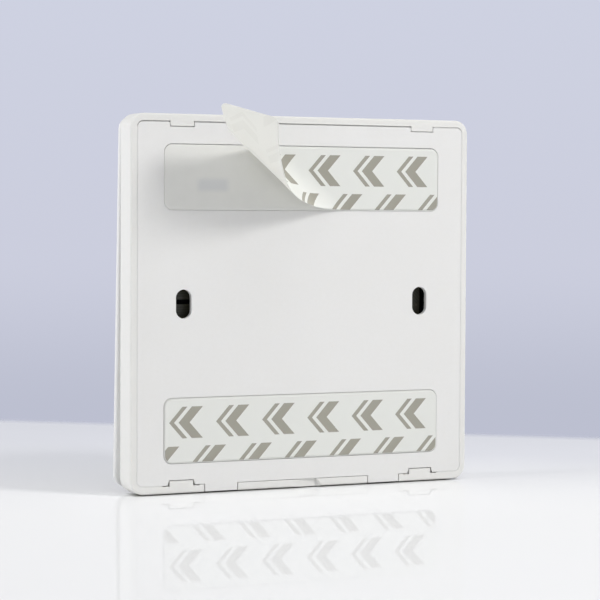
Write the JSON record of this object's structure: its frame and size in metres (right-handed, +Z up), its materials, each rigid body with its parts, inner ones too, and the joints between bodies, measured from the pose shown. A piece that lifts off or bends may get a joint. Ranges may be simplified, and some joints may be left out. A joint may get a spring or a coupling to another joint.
{
  "type": "wireless wall switch",
  "caption": "Square battery wall switch with one tilted front key and a clip-on back plate with adhesive strips and upright screw slots.",
  "frame": {"origin": "centre of the wall face, which is the outer face of the back plate", "axes": "+X right as seen from the front, +Y into the wall, +Z up"},
  "size_m": [0.086, 0.0352, 0.0882],
  "materials": {
    "housing_plastic": "fine spark texture",
    "plate_plastic": "fine spark texture",
    "key_plastic": "satin",
    "clear_plastic": "polished",
    "foam_tape": "tacky satin",
    "release_liner": "coated paper",
    "board_laminate": "solder mask",
    "cushion_foam": "matte foam",
    "screw_steel": "zinc plated",
    "cell_steel": "nickel plated",
    "contact_steel": "nickel plated",
    "black_plastic": "moulded",
    "plunger_plastic": "moulded",
    "chip_resin": "moulded resin",
    "antenna_ceramic": "glazed",
    "chip_ceramic": "fired",
    "silicone": "matte"
  },
  "bodies": {
    "housing": {"housing": "housing_plastic", "circuit_board": "board_laminate", "board_cushion_left": "cushion_foam", "board_cushion_right": "cushion_foam", "board_screws": "screw_steel", "cell_can": "cell_steel", "cell_gasket": "black_plastic", "cell_cap": "cell_steel", "contact_positive": "contact_steel", "contact_negative": "contact_steel", "switch_base": "black_plastic", "switch_dome": "contact_steel", "switch_cover": "contact_steel", "radio_chip": "chip_resin", "crystal": "contact_steel", "chip_antenna": "antenna_ceramic", "chip_parts": "chip_ceramic", "status_lamp": "clear_plastic", "stop_pad_left": "silicone", "stop_pad_right": "silicone"},
    "key": {"key": "key_plastic", "light_pipe": "clear_plastic"},
    "plunger": {"switch_plunger": "plunger_plastic"},
    "plate": {"back_plate": "plate_plastic", "adhesive_upper": "foam_tape", "adhesive_lower": "foam_tape", "liner_upper": "release_liner", "liner_lower": "release_liner"}
  },
  "joints": [
    {"name": "key_press", "type": "hinge", "parent": "housing", "child": "key", "pos_m": [0, -0.0051, 0.038], "axis": [1, 0, 0], "range_deg": [0, 0.79], "stiffness_Nm_per_rad": 1.08, "springref_deg": -1.06},
    {"name": "plunger_slide", "type": "slide", "parent": "housing", "child": "plunger", "axis": [0, 1, 0], "range_m": [0, 0.00025]},
    {"name": "plate_swing", "type": "hinge", "parent": "housing", "child": "plate", "pos_m": [0, 0, 0.0407], "axis": [1, 0, 0], "range_deg": [0, 30]}
  ],
  "couplings": [
    {"joint": "plunger_slide", "follows": "key_press", "m_per_rad": 0.018}
  ]
}
